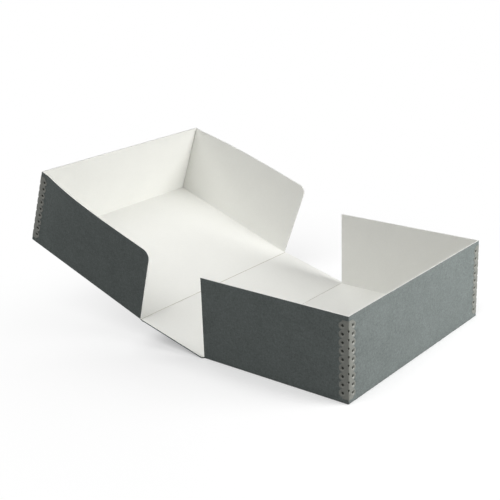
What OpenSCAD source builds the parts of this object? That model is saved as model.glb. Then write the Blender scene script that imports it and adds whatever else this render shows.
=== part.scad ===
// Drop-spine box of faced board: a base tray, a spine panel and a lid tray that
// fold on two creases, with a metal stay on each of the four fore-edge corners.
// It stands open. The origin is the middle of the base tray's underside, with +X
// towards the base tray's fore edge, +Y towards the far wall and +Z up.

/* [Base tray] */
// Outside size from the open spine side to the fore edge
base_w = 203; // [140:0.5:300]
// Outside size along the spine
base_d = 292; // [180:0.5:420]
// Outside height
base_h = 101.6; // [60:0.1:160]

/* [Board] */
// Thickness of the white board
core_t = 1.2; // [0.8:0.05:2.4]
// Thickness of the grey facing paper on its outer side
facing_t = 0.3; // [0.2:0.02:0.5]

/* [Closing fit] */
// Gap between the base walls and the lid walls when closed
side_clear = 0.7; // [0.7:0.05:2]
// Gap between the base walls' top edges and the lid panel when closed
head_clear = 0.3; // [0.3:0.05:2]
// Height of the lid walls' edges above the table when closed
foot_clear = 0.4; // [0.2:0.05:2]
// Gap between the spine and the panels and wall ends beside it
spine_clear = 0.35; // [0.3:0.05:1]
// Further gap between the spine and the lid's side walls
wall_back = 0.2; // [0.2:0.05:2]

/* [Open pose] */
// Slope of the spine panel above the table
spine_lift = 14.5; // [0:0.5:30]
// Fold between the spine panel and the lid panel
lid_fold = 5; // [0:0.5:30]

/* [Lid side walls] */
// How far each free end stands out at its top edge
wall_bow = 11.8; // [2:0.1:16]
// Length beside each corner stay that stays flat
bow_start = 13; // [12.8:0.1:20]
// How early along the wall it bows out
bow_power = 3.6; // [1.5:0.1:5]
// Lean of the near wall's free end towards the fore edge
near_lean = -1.5; // [-2:0.1:4]
// Lean of the far wall's free end towards the fore edge
far_lean = 3; // [-2:0.1:4]
// Radius of the free top corners
corner_r = 10; // [4:0.5:16]

/* [Corner stays] */
// Thickness of the metal
stay_t = 0.35; // [0.2:0.01:0.4]
// Distance from the bend to the row of prongs
stay_row = 7.9; // [6.5:0.1:8]
// Width of each leg between its lobes
web_w = 8.2; // [6:0.1:8.4]
// Radius of each lobe
lobe_r = 4.6; // [3:0.1:4.7]
// Distance from one lobe to the next
lobe_pitch = 9.75; // [9.5:0.05:12]
// Least distance from a stay's end to the wall's edge
stay_margin = 4; // [1:0.5:10]
// Length of plain web past the last lobe
stay_tail = 1.5; // [0.5:0.1:3]
// Outer radius of each pierced prong
prong_r = 1.2; // [0.9:0.05:1.6]
// Radius of the hole through each prong
prong_bore_r = 0.8; // [0.4:0.05:0.8]
// Length of each prong behind the leg
prong_l = 1.2; // [0.5:0.05:1.3]
// Gap round each prong in the board
prong_clear = 0.05; // [0.02:0.01:0.2]
// Radius of the nicks along the bend
nick_r = 1.1; // [0.5:0.1:1.6]

/* [Hidden] */
board_t = core_t + facing_t;
crease_gap = spine_clear + board_t / 2;
hinge_x = -base_w / 2 - crease_gap;
spine_s = base_h + head_clear;
lid_w = crease_gap + base_w + side_clear + board_t;
lid_h = spine_s + board_t - foot_clear;
base_half = base_d / 2;
lid_half = base_half + side_clear + board_t;
wall_end = crease_gap + wall_back;
corner_step = 15;
bow_steps = 14;
round_fn = 48;
cut = 1;
grey = [0.40, 0.44, 0.44];
white = [0.93, 0.92, 0.89];
metal = [0.55, 0.55, 0.52];

// A tray is drawn from its open spine end at x = 0 to its fore edge at x = w,
// with its outer bottom face at z = 0 and its side walls at y = -half and +half.
// A layer of its board lies between the depths d0 and d1 from the outer face.
module base_tray() translate([-base_w / 2, 0, 0]) children();
module spine_place() translate([hinge_x, 0, board_t / 2]) rotate([0, spine_lift, 0]) children();
module lid_place() spine_place() translate([-spine_s, 0, 0]) rotate([0, lid_fold, 0]) children();
module lid_tray() lid_place() mirror([1, 0, 0]) translate([0, 0, -board_t / 2]) children();
module far_side() mirror([0, 1, 0]) children();

// Floor of a tray, at the depths d0 to d1
module floor_layer(from_x, w, half, d0, d1, inset)
    translate([from_x, inset - half, d0])
        cube([w - inset - from_x, 2 * (half - inset), d1 - d0]);

// Near wall of a tray, mitred where it meets the fore wall
module side_layer(w, half, h, d0, d1)
    translate([0, 0, d0])
        linear_extrude(h - d0)
            polygon([[0, d0 - half], [w - d0, d0 - half], [w - d1, d1 - half], [0, d1 - half]]);

// Fore wall of a tray, mitred at both ends
module fore_layer(w, half, h, d0, d1)
    translate([0, 0, d0])
        linear_extrude(h - d0)
            polygon([[w - d0, d0 - half], [w - d0, half - d0], [w - d1, half - d1], [w - d1, d1 - half]]);

// Lobes of a corner stay on a wall of height h, evenly spaced about its middle
function lobe_count(h) = floor((h - 2 * (stay_margin + stay_tail)) / lobe_pitch);
function lobe_z(h) = [for (i = [0:lobe_count(h) - 1]) h / 2 + (i - (lobe_count(h) - 1) / 2) * lobe_pitch];
function stay_l(h) = lobe_count(h) * lobe_pitch + 2 * stay_tail;

// A stay is drawn with its bend at the origin and one leg towards -X.
// The same shape mirrored in the diagonal gives the leg towards +Y.
module both_legs() {
    children();
    mirror([1, 1, 0]) children();
}

// Round bars through a leg and the wall behind it, from y = d0 to y = d1
module prong_bars(h, r, d0, d1)
    for (z = lobe_z(h))
        translate([-stay_row, d0, z])
            rotate([-90, 0, 0])
                cylinder(h = d1 - d0, r = r, $fn = round_fn);

module stay_leg(h) {
    difference() {
        rotate([90, 0, 0]) linear_extrude(stay_t) union() {
            translate([-web_w, (h - stay_l(h)) / 2]) square([web_w, stay_l(h)]);
            for (z = lobe_z(h)) translate([-stay_row, z]) circle(r = lobe_r, $fn = round_fn);
        }
        prong_bars(h, prong_bore_r, -stay_t - cut, cut);
    }
    difference() {
        prong_bars(h, prong_r, 0, prong_l);
        prong_bars(h, prong_bore_r, -cut, prong_l + cut);
    }
}

module stay(h)
    color(metal) difference() {
        union() {
            both_legs() stay_leg(h);
            translate([0, 0, (h - stay_l(h)) / 2])
                rotate([0, 0, -90])
                    rotate_extrude(angle = 90, $fn = round_fn) square([stay_t, stay_l(h)]);
        }
        for (i = [1:lobe_count(h) - 1])
            translate([0, 0, lobe_z(h)[i] - lobe_pitch / 2])
                rotate([0, 90, -45])
                    cylinder(h = 8 * stay_t, r = nick_r, center = true, $fn = round_fn);
    }

// Sockets that the prongs of a stay need in the two walls at a tray's near corner
module prong_sockets(w, half, h)
    translate([w, -half, 0]) both_legs() prong_bars(h, prong_r + prong_clear, -cut, prong_l + prong_clear);

module near_stay(w, half, h) translate([w, -half, 0]) stay(h);

// Bowed near wall of the lid tray. How far along the bow the place x lies
function bow_share(x) = max(0, (lid_w - bow_start - x) / (lid_w - bow_start - wall_end));
function bow_out(x) = wall_bow * (1 - pow(1 - bow_share(x), bow_power));
function bowed(x, z, d, lean) =
    [x + lean * bow_share(x) * z / lid_h, d - lid_half - bow_out(x) * z / lid_h, z];

// Columns of the wall as [x, top height], round its free corner and then level
corner_columns = [for (a = [0:corner_step:90])
    [wall_end + corner_r * (1 - cos(a)), lid_h - corner_r * (1 - sin(a))]];
bow_from = wall_end + corner_r;
bow_to = lid_w - bow_start;
bow_columns = [for (i = [1:bow_steps]) [bow_from + (bow_to - bow_from) * i / bow_steps, lid_h]];
function columns(d) = concat(corner_columns, bow_columns, [[lid_w - d, lid_h]]);

// Points of one face of the wall, column by column, at the given low heights
function face_points(d, lows, lean) =
    [for (c = columns(d)) for (z = concat(lows, [c[1]])) bowed(c[0], z, d, lean)];

// Triangles over a grid of k columns and j rows, and round the rim between two
function grid_faces(k, j) = [for (a = [0:k - 2]) for (b = [0:j - 2])
    let (p = a * j + b, q = p + j)
    each [[p, p + 1, q + 1], [p, q + 1, q]]];
function flipped(faces, shift) = [for (f = faces) [f[0] + shift, f[2] + shift, f[1] + shift]];
function rim(k, j) = concat(
    [for (a = [0:k - 2]) [a * j, (a + 1) * j]],
    [for (b = [0:j - 2]) [(k - 1) * j + b, (k - 1) * j + b + 1]],
    [for (a = [k - 1:-1:1]) [a * j + j - 1, (a - 1) * j + j - 1]],
    [for (b = [j - 1:-1:1]) [b, b - 1]]);
function rim_faces(k, j) = [for (e = rim(k, j))
    each [[e[0], e[1], e[1] + k * j], [e[0], e[1] + k * j, e[0] + k * j]]];

module bowed_layer(d0, d1, lows, lean) {
    k = len(columns(0));
    j = len(lows) + 1;
    polyhedron(
        points = concat(face_points(d0, lows, lean), face_points(d1, lows, lean)),
        faces = concat(grid_faces(k, j), flipped(grid_faces(k, j), k * j), rim_faces(k, j)),
        convexity = 4);
}

// Base tray
module base_floor_board()
    color(white) base_tray() floor_layer(0, base_w, base_half, facing_t, board_t, board_t);

module base_floor_facing()
    color(grey) base_tray() floor_layer(0, base_w, base_half, 0, facing_t, facing_t);

module base_side_board()
    difference() {
        side_layer(base_w, base_half, base_h, facing_t, board_t);
        prong_sockets(base_w, base_half, base_h);
    }

module base_side_facing()
    difference() {
        side_layer(base_w, base_half, base_h, 0, facing_t);
        prong_sockets(base_w, base_half, base_h);
    }

module base_near_board() color(white) base_tray() base_side_board();
module base_far_board() color(white) base_tray() far_side() base_side_board();
module base_near_facing() color(grey) base_tray() base_side_facing();
module base_far_facing() color(grey) base_tray() far_side() base_side_facing();

module base_fore_board()
    color(white) base_tray() difference() {
        fore_layer(base_w, base_half, base_h, facing_t, board_t);
        prong_sockets(base_w, base_half, base_h);
        far_side() prong_sockets(base_w, base_half, base_h);
    }

module base_fore_facing()
    color(grey) base_tray() difference() {
        fore_layer(base_w, base_half, base_h, 0, facing_t);
        prong_sockets(base_w, base_half, base_h);
        far_side() prong_sockets(base_w, base_half, base_h);
    }

module base_near_stay() base_tray() near_stay(base_w, base_half, base_h);
module base_far_stay() base_tray() far_side() near_stay(base_w, base_half, base_h);

// Spine panel and its two creases
module spine_layer(z0, thickness)
    spine_place() translate([crease_gap - spine_s, -lid_half, z0 - board_t / 2])
        cube([spine_s - 2 * crease_gap, 2 * lid_half, thickness]);

module spine_board() color(white) spine_layer(facing_t, core_t);
module spine_facing() color(grey) spine_layer(0, facing_t);

module crease()
    rotate([90, 0, 0]) cylinder(h = 2 * lid_half, r = board_t / 2, center = true, $fn = round_fn);

module base_crease() color(grey) spine_place() crease();
module lid_crease() color(grey) lid_place() crease();

// Lid tray
module lid_top_board()
    color(white) lid_tray() floor_layer(crease_gap, lid_w, lid_half, facing_t, board_t, board_t);

module lid_top_facing()
    color(grey) lid_tray() floor_layer(crease_gap, lid_w, lid_half, 0, facing_t, facing_t);

module lid_side_board(lean)
    difference() {
        bowed_layer(facing_t, board_t, [facing_t], lean);
        prong_sockets(lid_w, lid_half, lid_h);
    }

module lid_side_facing(lean)
    difference() {
        bowed_layer(0, facing_t, [0, facing_t], lean);
        prong_sockets(lid_w, lid_half, lid_h);
    }

module lid_near_board() color(white) lid_tray() lid_side_board(near_lean);
module lid_far_board() color(white) lid_tray() far_side() lid_side_board(far_lean);
module lid_near_facing() color(grey) lid_tray() lid_side_facing(near_lean);
module lid_far_facing() color(grey) lid_tray() far_side() lid_side_facing(far_lean);

module lid_fore_board()
    color(white) lid_tray() difference() {
        fore_layer(lid_w, lid_half, lid_h, facing_t, board_t);
        prong_sockets(lid_w, lid_half, lid_h);
        far_side() prong_sockets(lid_w, lid_half, lid_h);
    }

module lid_fore_facing()
    color(grey) lid_tray() difference() {
        fore_layer(lid_w, lid_half, lid_h, 0, facing_t);
        prong_sockets(lid_w, lid_half, lid_h);
        far_side() prong_sockets(lid_w, lid_half, lid_h);
    }

module lid_near_stay() lid_tray() near_stay(lid_w, lid_half, lid_h);
module lid_far_stay() lid_tray() far_side() near_stay(lid_w, lid_half, lid_h);

base_floor_board();
base_near_board();
base_far_board();
base_fore_board();
base_floor_facing();
base_near_facing();
base_far_facing();
base_fore_facing();
base_near_stay();
base_far_stay();
spine_board();
spine_facing();
base_crease();
lid_crease();
lid_top_board();
lid_near_board();
lid_far_board();
lid_fore_board();
lid_top_facing();
lid_near_facing();
lid_far_facing();
lid_fore_facing();
lid_near_stay();
lid_far_stay();
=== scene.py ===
import bpy, bmesh, math
from mathutils import Matrix, Quaternion, Vector, noise


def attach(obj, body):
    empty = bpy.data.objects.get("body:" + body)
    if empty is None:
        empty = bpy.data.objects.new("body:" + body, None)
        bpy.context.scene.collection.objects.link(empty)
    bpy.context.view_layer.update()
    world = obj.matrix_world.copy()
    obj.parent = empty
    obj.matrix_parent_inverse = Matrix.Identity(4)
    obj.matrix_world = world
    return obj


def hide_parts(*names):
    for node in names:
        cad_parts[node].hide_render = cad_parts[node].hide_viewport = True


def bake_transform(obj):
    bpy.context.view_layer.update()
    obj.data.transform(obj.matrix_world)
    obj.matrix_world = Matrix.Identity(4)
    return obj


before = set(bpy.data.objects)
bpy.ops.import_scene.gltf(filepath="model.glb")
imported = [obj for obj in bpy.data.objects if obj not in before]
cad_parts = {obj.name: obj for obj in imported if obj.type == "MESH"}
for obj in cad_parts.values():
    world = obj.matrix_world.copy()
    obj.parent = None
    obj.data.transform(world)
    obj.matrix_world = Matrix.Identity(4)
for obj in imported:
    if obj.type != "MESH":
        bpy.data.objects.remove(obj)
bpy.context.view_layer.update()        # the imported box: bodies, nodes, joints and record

scene = bpy.context.scene
scene.view_settings.view_transform = 'Standard'
mm = 0.001               # every size below is in millimetres

cameraView = {
    "place": (634.51, -954.38, 513.4),
    "azimuth": 39.268,
    "elevation": 19.196,
    "roll": -1.974,
    "lens": 73.235,      # on a 36 mm sensor
}

def addCamera():
    az, el = math.radians(cameraView["azimuth"]), math.radians(cameraView["elevation"])
    back = Vector((math.sin(az) * math.cos(el), -math.cos(az) * math.cos(el), math.sin(el)))
    data = bpy.data.cameras.new("camera")
    data.sensor_width = 36
    data.lens = cameraView["lens"]
    data.clip_start, data.clip_end = 0.05, 50
    camera = bpy.data.objects.new("camera", data)
    camera.rotation_mode = 'QUATERNION'
    roll = Quaternion((0, 0, 1), math.radians(cameraView["roll"]))
    camera.rotation_quaternion = (-back).to_track_quat('-Z', 'Y') @ roll
    camera.location = Vector(cameraView["place"]) * mm
    scene.collection.objects.link(camera)
    scene.camera = camera

addCamera()
print("camera set")

def addNode(tree, kind, place=(0, 0), **settings):
    node = tree.nodes.new(kind)
    node.location = place
    for name, value in settings.items():
        setattr(node, name, value)
    return node

def link(tree, source, target):
    tree.links.new(source, target)

def newGroup(name, inputs, outputs):
    group = bpy.data.node_groups.new(name, 'ShaderNodeTree')
    for label, kind, value in inputs:
        socket = group.interface.new_socket(label, in_out='INPUT', socket_type=kind)
        if value is not None:
            socket.default_value = value
    for label, kind in outputs:
        group.interface.new_socket(label, in_out='OUTPUT', socket_type=kind)
    return group, addNode(group, 'NodeGroupInput', (-900, 0)), addNode(group, 'NodeGroupOutput', (900, 0))

def mathNode(tree, operation, first, second, place):
    node = addNode(tree, 'ShaderNodeMath', place, operation=operation)
    for socket, value in zip(node.inputs, (first, second)):
        if isinstance(value, (int, float)):
            socket.default_value = value
        else:
            link(tree, value, socket)
    return node.outputs[0]

def noiseNode(tree, vector, scale, detail, roughness, place, distortion=0.0):
    node = addNode(tree, 'ShaderNodeTexNoise', place)
    node.inputs["Scale"].default_value = scale
    node.inputs["Detail"].default_value = detail
    node.inputs["Roughness"].default_value = roughness
    node.inputs["Distortion"].default_value = distortion
    link(tree, vector, node.inputs["Vector"])
    return node.outputs["Fac"]

def buildFibreGroup():
    # pressed paper and board: a fine grain, short crossed fibres and broad soft blotches
    group, inside, outside = newGroup("pressedFibre", [
        ("Vector", 'NodeSocketVector', None),
        ("Grain", 'NodeSocketFloat', 0.1),
        ("Fibre", 'NodeSocketFloat', 0.1),
        ("Blotch", 'NodeSocketFloat', 0.05),
        ("Fibre Scale", 'NodeSocketFloat', 1.0),
    ], [("Tone", 'NodeSocketFloat'), ("Height", 'NodeSocketFloat')])
    vector = addNode(group, 'ShaderNodeVectorMath', (-700, 200), operation='SCALE')
    link(group, inside.outputs["Vector"], vector.inputs[0])
    link(group, inside.outputs["Fibre Scale"], vector.inputs["Scale"])
    vector = vector.outputs[0]
    grain = noiseNode(group, vector, 430, 5, 0.66, (-500, 400))
    total = None
    turns = ((0.3, 0.5, 0.2), (1.2, -0.4, 1.0), (-0.7, 0.9, 2.1))
    stretches = ((1, 3, 3), (3, 1, 3), (3, 3, 1))
    for index, (turn, stretch) in enumerate(zip(turns, stretches)):
        mapping = addNode(group, 'ShaderNodeMapping', (-500, 100 - 250 * index))
        mapping.inputs["Rotation"].default_value = turn
        mapping.inputs["Scale"].default_value = stretch
        link(group, vector, mapping.inputs["Vector"])
        strand = noiseNode(group, mapping.outputs[0], 210, 3, 0.6, (-300, 100 - 250 * index), 1.4)
        total = strand if total is None else mathNode(group, 'ADD', total, strand, (-100, 100 - 250 * index))
    fibre = mathNode(group, 'MULTIPLY', total, 0.333, (50, 0))
    sharp = addNode(group, 'ShaderNodeMapRange', (200, 0), interpolation_type='SMOOTHSTEP')
    sharp.inputs["From Min"].default_value = 0.42
    sharp.inputs["From Max"].default_value = 0.60
    link(group, fibre, sharp.inputs["Value"])
    fibre = sharp.outputs[0]
    blotch = noiseNode(group, vector, 32, 3, 0.55, (-500, 700))
    parts = []
    for value, amount, y in ((grain, "Grain", 400), (fibre, "Fibre", 0), (blotch, "Blotch", 700)):
        centred = mathNode(group, 'SUBTRACT', value, 0.5, (350, y))
        parts.append(mathNode(group, 'MULTIPLY', centred, inside.outputs[amount], (500, y)))
    tone = mathNode(group, 'ADD', parts[0], parts[1], (620, 200))
    tone = mathNode(group, 'ADD', tone, parts[2], (700, 300))
    link(group, mathNode(group, 'ADD', tone, 1.0, (780, 300)), outside.inputs["Tone"])
    grainHeight = mathNode(group, 'MULTIPLY', grain, 0.4, (620, -200))
    fibreHeight = mathNode(group, 'MULTIPLY', fibre, 0.6, (620, -300))
    height = mathNode(group, 'ADD', grainHeight, fibreHeight, (760, -250))
    link(group, height, outside.inputs["Height"])
    return group

fibreGroup = buildFibreGroup()

def placeGroup(tree, group, values, place=(-400, 0)):
    node = addNode(tree, 'ShaderNodeGroup', place)
    node.node_tree = group
    for label, value in values.items():
        node.inputs[label].default_value = value
    return node

def newMaterial(name):
    material = bpy.data.materials.new(name)
    material.use_nodes = True
    tree = material.node_tree
    tree.nodes.clear()
    output = addNode(tree, 'ShaderNodeOutputMaterial', (600, 0))
    shader = addNode(tree, 'ShaderNodeBsdfPrincipled', (300, 0))
    link(tree, shader.outputs[0], output.inputs["Surface"])
    coords = addNode(tree, 'ShaderNodeTexCoord', (-900, 0))
    return material, tree, shader, coords.outputs["Object"]

def scaledColor(tree, color, tone, place=(0, 200)):
    node = addNode(tree, 'ShaderNodeVectorMath', place, operation='SCALE')
    node.inputs[0].default_value = color
    link(tree, tone, node.inputs["Scale"])
    return node.outputs[0]

def addBump(tree, height, shader, strength, distance, place=(100, -300)):
    bump = addNode(tree, 'ShaderNodeBump', place)
    bump.inputs["Strength"].default_value = strength
    bump.inputs["Distance"].default_value = distance
    link(tree, height, bump.inputs["Height"])
    link(tree, bump.outputs[0], shader.inputs["Normal"])

def fibreMaterial(name, look):
    material, tree, shader, vector = newMaterial(name)
    fibre = placeGroup(tree, fibreGroup, {
        "Grain": look["grain"], "Fibre": look["fibre"],
        "Blotch": look["blotch"], "Fibre Scale": look["fibreScale"]})
    link(tree, vector, fibre.inputs["Vector"])
    link(tree, scaledColor(tree, look["color"], fibre.outputs["Tone"]), shader.inputs["Base Color"])
    rough = addNode(tree, 'ShaderNodeMapRange', (0, -100))
    rough.inputs["From Min"].default_value = 0.8
    rough.inputs["From Max"].default_value = 1.2
    rough.inputs["To Min"].default_value = look["roughness"] + 0.06
    rough.inputs["To Max"].default_value = look["roughness"] - 0.06
    link(tree, fibre.outputs["Tone"], rough.inputs["Value"])
    link(tree, rough.outputs[0], shader.inputs["Roughness"])
    shader.inputs["Specular IOR Level"].default_value = look["specular"]
    addBump(tree, fibre.outputs["Height"], shader, look["bump"], 0.0001)
    return material

greyPaper = fibreMaterial("greyPaper", {
    "color": (0.164, 0.186, 0.180), "grain": 0.52, "fibre": 0.26, "blotch": 0.24, "fibreScale": 1.0,
    "roughness": 0.86, "specular": 0.25, "bump": 0.35})
whiteBoard = fibreMaterial("whiteBoard", {
    "color": (0.815, 0.815, 0.781), "grain": 0.035, "fibre": 0.02, "blotch": 0.03, "fibreScale": 1.2,
    "roughness": 0.9, "specular": 0.2, "bump": 0.2})
boardEdge = fibreMaterial("boardEdge", {
    "color": (0.82, 0.815, 0.785), "grain": 0.12, "fibre": 0.10, "blotch": 0.05, "fibreScale": 1.6,
    "roughness": 0.95, "specular": 0.1, "bump": 0.7})

# painted shade: a darker tone for the scored groove in each crease, where shade falls
paintedCreaseShade = fibreMaterial("paintedCreaseShade", {
    "color": (0.50, 0.485, 0.43), "grain": 0.15, "fibre": 0.10, "blotch": 0.10, "fibreScale": 1.4,
    "roughness": 0.95, "specular": 0.1, "bump": 0.4})

stayLook = {"color": (0.185, 0.19, 0.168), "metallic": 0.12, "roughness": 0.40, "specular": 0.6, "wear": 0.10}

def stayMaterial():
    material, tree, shader, vector = newMaterial("stayMetal")
    cloud = noiseNode(tree, vector, 140, 4, 0.6, (-500, 200))
    speck = noiseNode(tree, vector, 1500, 2, 0.5, (-500, -100))
    cloudTone = mathNode(tree, 'MULTIPLY', cloud, stayLook["wear"] * 2, (-300, 200))
    speckTone = mathNode(tree, 'MULTIPLY', speck, stayLook["wear"], (-300, 0))
    tone = mathNode(tree, 'ADD', cloudTone, speckTone, (-150, 100))
    tone = mathNode(tree, 'ADD', tone, 1 - 1.5 * stayLook["wear"], (-50, 100))
    link(tree, scaledColor(tree, stayLook["color"], tone, (100, 200)), shader.inputs["Base Color"])
    rough = addNode(tree, 'ShaderNodeMapRange', (0, -150))
    rough.inputs["To Min"].default_value = stayLook["roughness"] - 0.08
    rough.inputs["To Max"].default_value = stayLook["roughness"] + 0.1
    link(tree, cloud, rough.inputs["Value"])
    link(tree, rough.outputs[0], shader.inputs["Roughness"])
    shader.inputs["Metallic"].default_value = stayLook["metallic"]
    shader.inputs["Specular IOR Level"].default_value = stayLook["specular"]
    addBump(tree, speck, shader, 0.15, 0.00005)
    return material

stayMetal = stayMaterial()
# painted shade: a near-black material for the insides of the stays' pierced holes and of the sockets and nick
# hollows cut into the board, where only shade falls
paintedHoleShade = fibreMaterial("paintedHoleShade", {
    "color": (0.075, 0.077, 0.068), "grain": 0.4, "fibre": 0.1, "blotch": 0.0, "fibreScale": 2.0,
    "roughness": 0.95, "specular": 0.05, "bump": 0.5})
print("materials made")

def finishPiece(name, points, faces, materials, place, facesAt=None, sharpAngle=38):
    mesh = bpy.data.meshes.new(name)
    mesh.from_pydata([Vector(p) * mm for p in points], [], faces)
    for material in materials:
        mesh.materials.append(material)
    if facesAt:
        for polygon, index in zip(mesh.polygons, facesAt):
            polygon.material_index = index
    mesh.transform(place)
    bm = bmesh.new()
    bm.from_mesh(mesh)
    bmesh.ops.recalc_face_normals(bm, faces=bm.faces)
    bm.to_mesh(mesh)
    bm.free()
    mesh.shade_smooth()
    mesh.set_sharp_from_angle(angle=math.radians(sharpAngle))
    piece = bpy.data.objects.new(name, mesh)
    scene.collection.objects.link(piece)
    return piece

def closedSheet(rows, columns, outer, inner, pointAt):
    # a sheet between two depths on a grid of rows and columns; its rim faces are marked 1
    points, faces, marks = [], [], []
    for depth in (outer, inner):
        for r in range(rows):
            for c in range(columns):
                points.append(pointAt(r, c, depth))
    half = rows * columns
    for r in range(rows - 1):
        for c in range(columns - 1):
            a = r * columns + c
            quad = (a, a + 1, a + columns + 1, a + columns)
            faces.append(quad)
            faces.append(tuple(half + v for v in reversed(quad)))
            marks += [0, 0]
    loop = list(range(columns - 1)) + [r * columns + columns - 1 for r in range(rows - 1)]
    loop += [(rows - 1) * columns + c for c in range(columns - 1, 0, -1)]
    loop += [r * columns for r in range(rows - 1, 0, -1)]
    for a, b in zip(loop, loop[1:] + loop[:1]):
        faces.append((b, a, half + a, half + b))
        marks.append(1)
    return points, faces, marks

def dress(piece, body, slotName, *nodes):
    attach(piece, body)
    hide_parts(*nodes)

def openPlaces(spineLift=14.5, lidFold=5.0, hinge=-102.6, spineLength=101.9, board=1.5, baseWidth=203.0):
    # where the base, the spine and the lid's tray lie when the box stands open as photographed
    base = Matrix.Translation((-baseWidth / 2, 0, 0))
    spine = Matrix.Translation((hinge, 0, board / 2)) @ Matrix.Rotation(math.radians(spineLift), 4, 'Y')
    lid = spine @ Matrix.Translation((-spineLength, 0, 0)) @ Matrix.Rotation(math.radians(lidFold), 4, 'Y')
    lidTray = lid @ Matrix.Scale(-1, 4, (1, 0, 0)) @ Matrix.Translation((0, 0, -board / 2))
    scaled = []
    for place in (base, spine, lidTray):
        place = place.copy()
        place.translation *= mm
        scaled.append(place)
    return scaled

basePlace, spinePlace, lidTrayPlace = openPlaces()

boardSheet = {"facing": 0.3, "board": 1.5}       # depths from the outer face

# A tray runs from its open spine end to its fore edge at x = width, with its outer bottom at z = 0
# and side walls at y = -half and +half. A sheet of it lies between two depths from the outer face.
baseTray = {
    "width": 203.0, "half": 146.0, "height": 101.6, "floorFrom": 0.0, "wallFrom": 0.0,
    "fold": 1.7,             # outer radius of the folds round the floor
    "cornerRound": 0.95,     # outer radius of the two fore corners
    "bow": 0.0, "bowFrom": 13.0, "bowPower": 3.6, "lean": (0.0, 0.0), "freeCorner": 0.0,
    "seam": 0.55, "wave": 0.14, "seed": 3.0,
}
lidTray = {
    "width": 206.3, "half": 148.2, "height": 103.0, "floorFrom": 1.1, "wallFrom": 1.3,
    "fold": 1.7, "cornerRound": 0.95,
    "bow": 11.8, "bowFrom": 13.0, "bowPower": 3.6, "lean": (-1.5, 3.0), "freeCorner": 10.0,
    "seam": 0.55, "wave": 0.14, "seed": 11.0,
}

cornerColumns = (8.5, 4.5)       # columns this far from a fore corner, round the stays' sockets
cornerClear = 14.0               # the fore wall's even columns keep at least this far from it
wave = {"along": 70.0, "up": 55.0, "rise": (2, 30), "corner": (14, 45)}
seamRise = (1.5, 4.0)            # the corner seams open between these heights
seamShare = 0.45                 # share of a seam's opening at the columns beside its middle
leastTurn = 0.04                 # least radius of a corner's inside

def sideColumns(tray):
    # places along a side wall with the wall's height at each, up to the fore corner
    start, radius, height = tray["wallFrom"], tray["freeCorner"], tray["height"]
    if radius:
        angles = [math.radians(a) for a in range(0, 91, 10)]
        columns = [(start + radius * (1 - math.cos(a)), height - radius * (1 - math.sin(a))) for a in angles]
    else:
        columns = [(start, height), (start + 2.0, height), (start + 5.0, height)]
    first, last = columns[-1][0], tray["width"] - tray["bowFrom"]
    steps = 26
    columns += [(first + (last - first) * n / steps, height) for n in range(1, steps + 1)]
    columns += [(tray["width"] - back, height) for back in cornerColumns] + [(None, height)]
    return columns

def bowShare(tray, x):
    fixedEnd = tray["width"] - tray["bowFrom"]
    return max(0.0, (fixedEnd - x) / (fixedEnd - tray["wallFrom"]))

def softWave(tray, a, b, side):
    return tray["wave"] * noise.noise(Vector((a / wave["along"], b / wave["up"], tray["seed"] + 7 * side)))

def fade(value, low, high):
    t = min(1.0, max(0.0, (value - low) / (high - low)))
    return t * t * (3 - 2 * t)

def trayColumns(tray):
    sides = sideColumns(tray)
    corner = (22.5, 45.0, 67.5)
    count = 30
    spread = [-1 + 2 * n / count for n in range(1, count)]
    half = tray["half"]
    ys = [None] + [back - half for back in reversed(cornerColumns)]
    ys += [v * (half - cornerClear) for v in spread]
    ys += [half - back for back in cornerColumns] + [None]
    full = tray["height"]
    columns = [("side", -1, x, top) for x, top in sides]
    columns += [("corner", -1, a, full) for a in corner]
    columns += [("fore", -1 if n == 0 else 1, y, full) for n, y in enumerate(ys)]
    columns += [("corner", 1, a, full) for a in reversed(corner)]
    columns += [("side", 1, x, top) for x, top in reversed(sides)]
    return columns, len(sides) + 2, len(ys) + 4

def trayPoint(tray, column, inset, z, depth):
    kind, side, value, top = column
    seam = tray["seam"] if depth == boardSheet["board"] else 0.0      # only the inside has one
    turn = max(tray["cornerRound"] - inset, leastTurn) + seam / 2
    cx, cy = tray["width"] - inset - turn, tray["half"] - inset - turn
    if kind == "corner":
        a = math.radians(value)
        gap = seam * fade(z, *seamRise)
        foreGap = gap * (seamShare if value > 45 else 0.0)
        sideGap = gap * (seamShare if value < 45 else 0.0)
        if value == 45:
            foreGap = sideGap = gap
        return cx + turn * math.sin(a) + foreGap, side * (cy + turn * math.cos(a) + sideGap), z
    rise = fade(z, *wave["rise"])
    if kind == "fore":
        y = side * cy if value is None else value
        swell = softWave(tray, y, z, 0) * rise * fade(tray["half"] - abs(y), *wave["corner"])
        return tray["width"] - inset + swell, y, z
    x = cx if value is None else value
    share = bowShare(tray, x)
    out = tray["bow"] * (1 - (1 - min(share, 1.0)) ** tray["bowPower"]) * z / tray["height"]
    out += softWave(tray, x, z, side) * rise * fade(tray["width"] - x, *wave["corner"])
    lean = tray["lean"][0 if side < 0 else 1]
    return x + lean * share * z / tray["height"], side * (tray["half"] - inset + out), z

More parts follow.
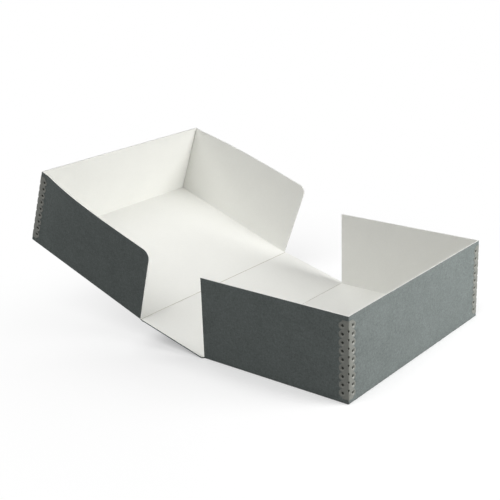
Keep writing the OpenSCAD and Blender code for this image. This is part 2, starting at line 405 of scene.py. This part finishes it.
def traySheet(tray, outer, inner):
    columns, cols, rows = trayColumns(tray)
    arcSteps, wallSteps = 5, 14
    points, faces, marks, index = [], [], [], {}

    def vertex(depth, key, point):
        if (depth, key) not in index:
            index[depth, key] = len(points)
            points.append(point)
        return index[depth, key]

    last = len(columns) - 1
    steps = arcSteps + wallSteps
    for depth in (outer, inner):
        fold = tray["fold"]
        for c, column in enumerate(columns):
            top = column[3]
            for k in range(steps + 1):
                if k <= arcSteps:
                    a = math.radians(90 * k / arcSteps)
                    inset, z = fold - (fold - depth) * math.sin(a), fold - (fold - depth) * math.cos(a)
                else:
                    t = (k - arcSteps) / wallSteps
                    inset, z = depth, fold + (top - fold) * t
                vertex(depth, ("wall", c, k), trayPoint(tray, column, inset, z, depth))

        def floorVertex(i, j):
            if j == 0:
                return index[depth, ("wall", i, 0)]
            if j == rows - 1:
                return index[depth, ("wall", last - i, 0)]
            if i == cols - 1:
                return index[depth, ("wall", i + j, 0)]
            x = points[index[depth, ("wall", i, 0)]][0]
            y = points[index[depth, ("wall", cols - 1 + j, 0)]][1]
            if i == 0:
                x = tray["floorFrom"]
            return vertex(depth, ("floor", i, j), (x, y, depth))

        flip = depth == inner
        for i in range(cols - 1):
            for j in range(rows - 1):
                quad = [floorVertex(i + di, j + dj) for di, dj in ((0, 0), (0, 1), (1, 1), (1, 0))]
                faces.append(quad[::-1] if flip else quad)
                marks.append(0)
        for c in range(last):
            for k in range(steps):
                quad = [index[depth, ("wall", c + dc, k + dk)] for dc, dk in ((0, 0), (1, 0), (1, 1), (0, 1))]
                faces.append(quad[::-1] if flip else quad)
                marks.append(0)
        if not flip:
            spineEnd = [("wall", 0, 0)] + [("floor", 0, j) for j in range(1, rows - 1)]
    loop = spineEnd + [("wall", last, k) for k in range(steps)]
    loop += [("wall", c, steps) for c in range(last, 0, -1)]
    loop += [("wall", 0, k) for k in range(steps, 0, -1)]
    for a, b in zip(loop, loop[1:] + loop[:1]):
        faces.append([index[outer, a], index[outer, b], index[inner, b], index[inner, a]])
        marks.append(1)
    return points, faces, marks

def lobeHeights(height, pitch=9.75, margin=4.0, tail=1.5):
    count = math.floor((height - 2 * (margin + tail)) / pitch)
    return [height / 2 + (n - (count - 1) / 2) * pitch for n in range(count)]

prongSocket = {
    "row": 7.9, "sides": 20,
    "mouth": 3.3, "mouthOut": 0.18,      # the taper starts this far outside the face
    "bottom": 1.6, "deep": 1.26,
}
nickHollow = {"wide": 1.28, "high": 1.6, "out": 1.0, "deep": 0.95}

def cutSockets(piece, tray, place):
    # tapered sockets for the stays' prongs at each fore corner, and a hollow behind each nick; the cut faces
    # take the painted hole shade
    k, points, faces = prongSocket, [], []
    sides = k["sides"]

    def addPlug(ringAt):
        start = len(points)
        for end in (0, 1):
            points.extend(ringAt(end, 2 * math.pi * n / sides) for n in range(sides))
        faces.append([start + n for n in range(sides)])
        faces.append([start + sides + n for n in reversed(range(sides))])
        for n in range(sides):
            m = (n + 1) % sides
            faces.append([start + n, start + sides + n, start + sides + m, start + m])

    def addSocket(side, z, leg):
        ends = ((k["mouth"], -k["mouthOut"]), (k["bottom"], k["deep"]))

        def ringAt(end, a):
            radius, depth = ends[end]
            u, v = radius * math.cos(a), radius * math.sin(a)
            if leg == "side":
                return tray["width"] - k["row"] + u, side * (tray["half"] - depth), z + v
            return tray["width"] - depth, side * (tray["half"] - k["row"] + u), z + v
        addPlug(ringAt)

    def addHollow(side, z):
        def ringAt(end, a):
            along = (-nickHollow["out"], nickHollow["deep"])[end]
            across, v = nickHollow["wide"] * math.cos(a), nickHollow["high"] * math.sin(a)
            x, y = (-along + across) / math.sqrt(2), (-along - across) / math.sqrt(2)
            return tray["width"] + x, side * (tray["half"] + y), z + v
        addPlug(ringAt)

    heights = lobeHeights(tray["height"])
    for side in (-1, 1):
        for z in heights:
            for leg in ("side", "fore"):
                addSocket(side, z, leg)
        for low, high in zip(heights, heights[1:]):
            addHollow(side, (low + high) / 2)
    cutter = finishPiece("cutter", points, faces, [paintedHoleShade], place)
    boolean = piece.modifiers.new("sockets", 'BOOLEAN')
    boolean.operation, boolean.solver, boolean.object = 'DIFFERENCE', 'EXACT', cutter
    boolean.material_mode = 'TRANSFER'
    bpy.context.view_layer.update()
    cut = bpy.data.meshes.new_from_object(piece.evaluated_get(bpy.context.evaluated_depsgraph_get()))
    piece.modifiers.clear()
    old = piece.data
    piece.data = cut
    cut.name = old.name + "Cut"
    bpy.data.meshes.remove(old)
    bpy.data.objects.remove(cutter)

def makeTray(name, tray, place, body, boardNodes, facingNodes):
    points, faces, marks = traySheet(tray, boardSheet["facing"], boardSheet["board"])
    board = finishPiece(name + "Board", points, faces, [whiteBoard, boardEdge], place, marks)
    cutSockets(board, tray, place)
    dress(board, body, "white_board", *boardNodes)
    points, faces, marks = traySheet(tray, 0.0, boardSheet["facing"])
    facing = finishPiece(name + "Facing", points, faces, [greyPaper], place)
    cutSockets(facing, tray, place)
    dress(facing, body, "grey_facing", *facingNodes)
    print(name, "tray made")

makeTray("base", baseTray, basePlace, "base",
         ["base_floor_board", "base_near_board", "base_far_board", "base_fore_board"],
         ["base_floor_facing", "base_near_facing", "base_far_facing", "base_fore_facing"])
makeTray("lid", lidTray, lidTrayPlace, "lid",
         ["lid_top_board", "lid_near_board", "lid_far_board", "lid_fore_board"],
         ["lid_top_facing", "lid_near_facing", "lid_far_facing", "lid_fore_facing"])

spinePanel = {"half": 148.2, "from": 3.0, "to": 98.9, "board": 1.5, "rows": 20, "columns": 40}

def makeSpine():
    p = spinePanel

    def pointAt(r, c, depth):
        along = p["from"] + (p["to"] - p["from"]) * r / (p["rows"] - 1)
        y = -p["half"] + 2 * p["half"] * c / (p["columns"] - 1)
        return -along, y, depth - p["board"] / 2

    for name, outer, inner, materials, slotName, node in (
            ("spineBoard", boardSheet["facing"], boardSheet["board"],
             [whiteBoard, greyPaper], "white_board", "spine_board"),
            ("spineFacing", 0.0, boardSheet["facing"],
             [greyPaper, greyPaper], "grey_facing", "spine_facing")):
        points, faces, marks = closedSheet(p["rows"], p["columns"], outer, inner, pointAt)
        dress(finishPiece(name, points, faces, materials, spinePlace, marks), "spine", slotName, node)

makeSpine()

creases = {
    "base": {"place": basePlace, "hinge": (-1.1, 0.75), "turn": 14.5, "trayHalf": 145.6,
             "bodies": ("base", "spine"), "node": "base_crease"},
    "lid": {"place": lidTrayPlace, "hinge": (0.0, 0.75), "turn": 5.0, "trayHalf": 147.8,
            "bodies": ("lid", "spine"), "node": "lid_crease"},
    "trayReach": 1.1, "spineReach": 3.0, "spineHalf": 148.2, "widenTo": 2.2, "rows": 21, "columns": 60,
    "groove": 0.55, "grooveWide": 0.42,      # the scored line on the inside
}

def makeCrease(name):
    # the board runs on from the tray's floor over the crease to the spine panel
    p, c0 = creases, creases[name]
    hingeX, hingeZ = c0["hinge"]
    reach = p["trayReach"] + p["spineReach"]

    def pointAt(r, c, depth):
        t = -p["trayReach"] + reach * r / (p["rows"] - 1)
        a = math.radians(c0["turn"]) * fade(t, -p["trayReach"], p["spineReach"])
        if name == "lid":
            a = -a
        widen = fade(t, -p["trayReach"], p["widenTo"])
        half = c0["trayHalf"] + (p["spineHalf"] - c0["trayHalf"]) * widen
        y = -half + 2 * half * c / (p["columns"] - 1)
        x, z = -t, depth - hingeZ
        if depth == boardSheet["board"]:
            z -= p["groove"] * max(0.0, 1 - abs(t) / p["grooveWide"])
        return hingeX + x * math.cos(a) + z * math.sin(a), y, hingeZ - x * math.sin(a) + z * math.cos(a)

    def inFrame(t):
        a = math.radians(c0["turn"]) * (1 if t > 0 else 0) * (-1 if name == "lid" else 1)
        return c0["place"] @ (Vector((hingeX - t * math.cos(a), 0, hingeZ + t * math.sin(a))) * mm)

    for part, outer, inner, materials, slotName in (
            ("Board", boardSheet["facing"], boardSheet["board"],
             [whiteBoard, greyPaper, paintedCreaseShade], "white_board"),
            ("Facing", 0.0, boardSheet["facing"], [greyPaper, greyPaper], "grey_facing")):
        points, faces, marks = closedSheet(p["rows"], p["columns"], outer, inner, pointAt)
        # the groove's inner faces take the painted crease shade
        if part == "Board":
            for number in range(1, 2 * (p["rows"] - 1) * (p["columns"] - 1), 2):
                row = number // 2 // (p["columns"] - 1)
                t = -p["trayReach"] + reach * (row + 0.5) / (p["rows"] - 1)
                if abs(t) < p["grooveWide"]:
                    marks[number] = 2
        piece = finishPiece(name + "Crease" + part, points, faces, materials, c0["place"], marks)
        start, end = tuple(inFrame(-p["trayReach"])), tuple(inFrame(p["spineReach"]))
        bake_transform(piece)
        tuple(start)
        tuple(end)
        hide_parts(c0["node"])

makeCrease("base")
makeCrease("lid")
print("spine and creases made")

stay = {
    "thick": 0.30, "bend": 0.97, "row": 7.9, "web": 8.2, "lobe": 4.6,
    "pitch": 9.75, "tail": 1.5, "middle": 2.5,
    "nickHigh": 1.45, "nickWide": 1.15, "nickDip": 0.12,
    "dish": 3.0, "dishDeep": 0.60, "throat": 1.55, "hole": 1.4, "holeDeep": 1.15,
    "rimLift": 0.08, "rimOut": 0.5, "rimWide": 0.45, "arcSteps": 18,
    "rings": (0.7, 1.4, 1.55, 1.8, 2.05, 2.3, 2.55, 2.8, 3.05, 3.5),     # radii round each prong
}

def stayRelief(r):
    # how far the pressed dish and the pierced hole in it lie below the flat metal, r from the middle
    s = stay
    lift = s["rimLift"] * math.exp(-((r - s["dish"] - s["rimOut"]) / s["rimWide"]) ** 2)
    if r >= s["dish"]:
        return lift
    if r >= s["throat"]:
        return lift - s["dishDeep"] * fade(s["dish"] - r, 0, s["dish"] - s["throat"])
    share = min(1.0, (s["throat"] - r) / (s["throat"] - s["hole"]))
    return lift - s["dishDeep"] - (s["holeDeep"] - s["dishDeep"]) * share

def stayCells():
    # flat pattern as quads and triangles of (u, v), u across the bend and v along it
    s = stay
    shift = s["bend"] * (1 - math.pi / 4)
    row, web = s["row"] - shift, s["web"] - shift
    count = len(lobeHeights(baseTray["height"]))
    reach = count * s["pitch"] / 2
    points, faces, index, paintedShadeCells = [], [], {}, set()

    def vertex(u, v, relief):
        key = (round(u, 4), round(v, 4))
        if key not in index:
            index[key] = len(points)
            points.append((u, v, relief))
        return index[key]

    def polar(cu, cv, border):
        rings = []
        for u, v in border:
            far = math.hypot(u - cu, v - cv)
            line = []
            for radius in s["rings"]:
                t = radius / far
                line.append(vertex(cu + (u - cu) * t, cv + (v - cv) * t, stayRelief(radius)))
            middle = (s["rings"][-1] + far) / 2
            u2, v2 = cu + (u - cu) * middle / far, cv + (v - cv) * middle / far
            line.append(vertex(u2, v2, stayRelief(middle)))
            line.append(vertex(u, v, stayRelief(far)))
            rings.append(line)
        for first, second in zip(rings, rings[1:] + rings[:1]):
            for n in range(len(first) - 1):
                # the pierced hole's walls, and the bottom fan below, are marked for painted shade
                if n < 2:
                    paintedShadeCells.add(len(faces))
                faces.append([first[n], first[n + 1], second[n + 1], second[n]])
        centre = vertex(cu, cv, stayRelief(0))
        for first, second in zip(rings, rings[1:] + rings[:1]):
            paintedShadeCells.add(len(faces))
            faces.append([centre, first[0], second[0]])

    half = s["pitch"] / 2
    inner = [s["middle"] + (web - s["middle"]) * n / 5 for n in range(6)]
    for n in range(count):
        cv = -reach + (n + 0.5) * s["pitch"]
        for side in (-1, 1):
            limit = math.degrees(math.acos((web - row) / s["lobe"]))
            arc = [(row + s["lobe"] * math.cos(math.radians(a)), s["lobe"] * math.sin(math.radians(a)))
                   for a in [-limit + 2 * limit * m / s["arcSteps"] for m in range(s["arcSteps"] + 1)]]
            border = arc + [(u, half) for u in reversed(inner)]
            border += [(s["middle"], half - s["pitch"] * m / 8) for m in range(1, 8)]
            border += [(u, -half) for u in inner]
            border = [(side * u, cv + v) for u, v in border]
            polar(side * row, cv, border)
    ladder = [-s["middle"] + s["middle"] * n / 3 for n in range(7)]
    for n in range(count - 1):
        cv = -reach + (n + 1) * s["pitch"]
        border = [(u, half) for u in reversed(ladder)]
        border += [(-s["middle"], half - s["pitch"] * m / 8) for m in range(1, 8)]
        border += [(u, -half) for u in ladder]
        border += [(s["middle"], -half + s["pitch"] * m / 8) for m in range(1, 8)]
        rings = []
        for u, v in border:
            far = math.hypot(u, v)
            edge = 1 / math.hypot(u / far / s["nickWide"], v / far / s["nickHigh"])
            line = []
            for t in (0, 0.12, 0.3, 0.6):
                out = edge + (far - edge) * t
                line.append(vertex(u / far * out, cv + v / far * out, -s["nickDip"] * (1 - t) ** 3))
            line.append(vertex(u, cv + v, 0.0))
            rings.append(line)
        for first, second in zip(rings, rings[1:] + rings[:1]):
            for m in range(4):
                faces.append([first[m], first[m + 1], second[m + 1], second[m]])

    def plainGrid(us, vs):
        for a, b in zip(us, us[1:]):
            for c, d in zip(vs, vs[1:]):
                faces.append([vertex(a, c, 0.0), vertex(b, c, 0.0), vertex(b, d, 0.0), vertex(a, d, 0.0)])

    for end in (-1, 1):
        plainGrid(ladder, [end * (reach - half + half * m / 4) for m in range(5)])
        across = [-u for u in reversed(inner)] + ladder[1:-1] + inner
        plainGrid(across, [end * reach, end * (reach + 0.6), end * (reach + s["tail"])])
    return points, faces, paintedShadeCells

def bentPoint(u, v, h):
    # u across the bend, h above the board's face; the bend's middle is the tray's corner
    s = stay
    radius = s["bend"]
    arcHalf = radius * math.pi / 4
    if abs(u) < arcHalf:
        a = math.radians(-45) + u / radius
        return -radius + (radius + h) * math.cos(a), radius + (radius + h) * math.sin(a), v
    run = abs(u) - arcHalf
    if u < 0:
        return -radius - run, -h, v
    return h, radius + run, v

def makeStay(name, tray, side, place, body, node):
    flat, cells, paintedShadeCells = stayCells()
    middle = tray["height"] / 2
    points, faces, marks = [], [], []
    for layer in (stay["thick"], 0.0):
        for u, v, relief in flat:
            x, y, z = bentPoint(u, v, layer + relief)
            points.append((tray["width"] + x, side * (tray["half"] - y), middle + z))
    count = len(flat)
    edges = {}
    for number, cell in enumerate(cells):
        faces.append(list(cell))
        faces.append([count + n for n in reversed(cell)])
        marks += [1 if number in paintedShadeCells else 0, 0]
        for a, b in zip(cell, cell[1:] + cell[:1]):
            key = (min(a, b), max(a, b))
            edges[key] = edges.get(key, []) + [(a, b)]
    for used in edges.values():
        if len(used) == 1:
            a, b = used[0]
            faces.append([b, a, count + a, count + b])
            marks.append(0)
    # the marked hole faces take the painted hole shade
    piece = finishPiece(name, points, faces, [stayMetal, paintedHoleShade], place, marks, sharpAngle=50)
    dress(piece, body, "stay_metal", node)

makeStay("baseNearStay", baseTray, -1, basePlace, "base", "base_near_stay")
makeStay("baseFarStay", baseTray, 1, basePlace, "base", "base_far_stay")
makeStay("lidNearStay", lidTray, -1, lidTrayPlace, "lid", "lid_near_stay")
makeStay("lidFarStay", lidTray, 1, lidTrayPlace, "lid", "lid_far_stay")
print("stays made")

floorLook = {
    "seen": 1.0, "bounce": 0.22,
    "middle": (-0.032, 0.0, 0.0), "half": (0.133, 0.147, 1.0),   # what stands on it
    # painted light: for the rays that show it the floor mixes in a white glow, a share of 0.38 to 0.70 within
    # the first reach of the footprint and rising to all of it by the second, which lightens the box's shadows
    # more the farther they fall from it
    "lift": (0.38, 0.70, 1.0), "reach": (0.05, 0.36),
}

def seenRays(tree, place):
    # 1 for the rays that show the surroundings themselves, 0 for those that light the box
    path = addNode(tree, 'ShaderNodeLightPath', place)
    direct, mirrored = path.outputs["Is Camera Ray"], path.outputs["Is Glossy Ray"]
    seen = mathNode(tree, 'MAXIMUM', direct, mirrored, (place[0] + 200, place[1]))
    return mathNode(tree, 'MAXIMUM', seen, path.outputs["Is Transmission Ray"], (place[0] + 400, place[1]))

def addFloor():
    mesh = bpy.data.meshes.new("floor")
    reach = 12.0
    corners = [(-reach, -reach, 0), (reach, -reach, 0), (reach, reach, 0), (-reach, reach, 0)]
    mesh.from_pydata(corners, [], [(0, 1, 2, 3)])
    floor = bpy.data.objects.new("floor", mesh)
    floor.location = (0, 0, -0.0002)
    scene.collection.objects.link(floor)
    material = bpy.data.materials.new("paleFloor")
    material.use_nodes = True
    tree = material.node_tree
    tree.nodes.clear()
    output = addNode(tree, 'ShaderNodeOutputMaterial', (1200, 0))
    seen = seenRays(tree, (-600, 500))
    tone = addNode(tree, 'ShaderNodeMix', (200, -300), data_type='RGBA')
    tone.inputs[6].default_value = (floorLook["bounce"],) * 3 + (1,)
    tone.inputs[7].default_value = (floorLook["seen"],) * 3 + (1,)
    link(tree, seen, tone.inputs[0])
    diffuse = addNode(tree, 'ShaderNodeBsdfDiffuse', (600, -100))
    link(tree, tone.outputs[2], diffuse.inputs["Color"])
    glow = addNode(tree, 'ShaderNodeEmission', (600, 100))
    glow.inputs["Color"].default_value = (1, 1, 1, 1)
    glow.inputs["Strength"].default_value = 1.0
    coords = addNode(tree, 'ShaderNodeTexCoord', (-1000, 0))
    offset = addNode(tree, 'ShaderNodeVectorMath', (-800, 0), operation='SUBTRACT')
    offset.inputs[1].default_value = floorLook["middle"]
    link(tree, coords.outputs["Object"], offset.inputs[0])
    size = addNode(tree, 'ShaderNodeVectorMath', (-600, 0), operation='ABSOLUTE')
    link(tree, offset.outputs[0], size.inputs[0])
    past = addNode(tree, 'ShaderNodeVectorMath', (-400, 0), operation='SUBTRACT')
    past.inputs[1].default_value = floorLook["half"]
    link(tree, size.outputs[0], past.inputs[0])
    outside = addNode(tree, 'ShaderNodeVectorMath', (-200, 0), operation='MAXIMUM')
    outside.inputs[1].default_value = (0, 0, 0)
    link(tree, past.outputs[0], outside.inputs[0])
    away = addNode(tree, 'ShaderNodeVectorMath', (0, 0), operation='LENGTH')
    link(tree, outside.outputs[0], away.inputs[0])
    low, middle, high = floorLook["lift"]
    near, far = floorLook["reach"]
    steps = []
    for start, end, bottom, top in ((0.0, near, low, middle), (near, far, 0.0, high - middle)):
        ramp = addNode(tree, 'ShaderNodeMapRange', (200, 200 - 250 * len(steps)))
        ramp.interpolation_type = 'SMOOTHSTEP'
        for label, value in zip(("From Min", "From Max", "To Min", "To Max"), (start, end, bottom, top)):
            ramp.inputs[label].default_value = value
        link(tree, away.outputs["Value"], ramp.inputs["Value"])
        steps.append(ramp.outputs[0])
    # painted light: the share of white glow that lightens the floor's shadows, growing away from the box
    lift = mathNode(tree, 'ADD', steps[0], steps[1], (400, 200))
    mix = addNode(tree, 'ShaderNodeMixShader', (900, 0))
    link(tree, mathNode(tree, 'MULTIPLY', lift, seen, (600, 300)), mix.inputs[0])
    link(tree, diffuse.outputs[0], mix.inputs[1])
    link(tree, glow.outputs[0], mix.inputs[2])
    link(tree, mix.outputs[0], output.inputs["Surface"])
    mesh.materials.append(material)

addFloor()

lights = {
    "key": {"aim": (0.06, 0, 0.05), "azimuth": 109, "elevation": 24,
            "distance": 1.02, "size": 0.75, "power": 14.8},
    "left": {"aim": (-0.1, 0, 0.05), "azimuth": 250, "elevation": 20,
             "distance": 3.0, "size": 2.6, "power": 51},
    "top": {"aim": (-0.1, 0, 0.05), "azimuth": 0, "elevation": 60,
            "distance": 3.0, "size": 2.6, "power": 55},
}
fillLevel = 0.01

def addLights():
    for name, lamp in lights.items():
        az, el = math.radians(lamp["azimuth"]), math.radians(lamp["elevation"])
        toLight = Vector((math.sin(az) * math.cos(el), -math.cos(az) * math.cos(el), math.sin(el)))
        data = bpy.data.lights.new(name, 'AREA')
        data.shape, data.size, data.energy = 'DISK', lamp["size"], lamp["power"]
        obj = bpy.data.objects.new(name, data)
        obj.location = Vector(lamp["aim"]) + toLight * lamp["distance"]
        obj.rotation_mode = 'QUATERNION'
        obj.rotation_quaternion = (-toLight).to_track_quat('-Z', 'Y')
        scene.collection.objects.link(obj)
    world = scene.world or bpy.data.worlds.new("world")
    scene.world = world
    world.use_nodes = True
    tree = world.node_tree
    tree.nodes.clear()
    output = addNode(tree, 'ShaderNodeOutputWorld', (600, 0))
    fill = addNode(tree, 'ShaderNodeBackground', (0, -150))
    fill.inputs["Color"].default_value = (0.97, 0.99, 1.0, 1)
    fill.inputs["Strength"].default_value = fillLevel
    white = addNode(tree, 'ShaderNodeBackground', (0, 100))
    white.inputs["Color"].default_value = (1, 1, 1, 1)
    white.inputs["Strength"].default_value = 1.0
    seen = seenRays(tree, (-600, 300))
    mix = addNode(tree, 'ShaderNodeMixShader', (300, 0))
    link(tree, seen, mix.inputs[0])
    link(tree, fill.outputs[0], mix.inputs[1])
    link(tree, white.outputs[0], mix.inputs[2])
    link(tree, mix.outputs[0], output.inputs["Surface"])

addLights()
print("floor and lights made")
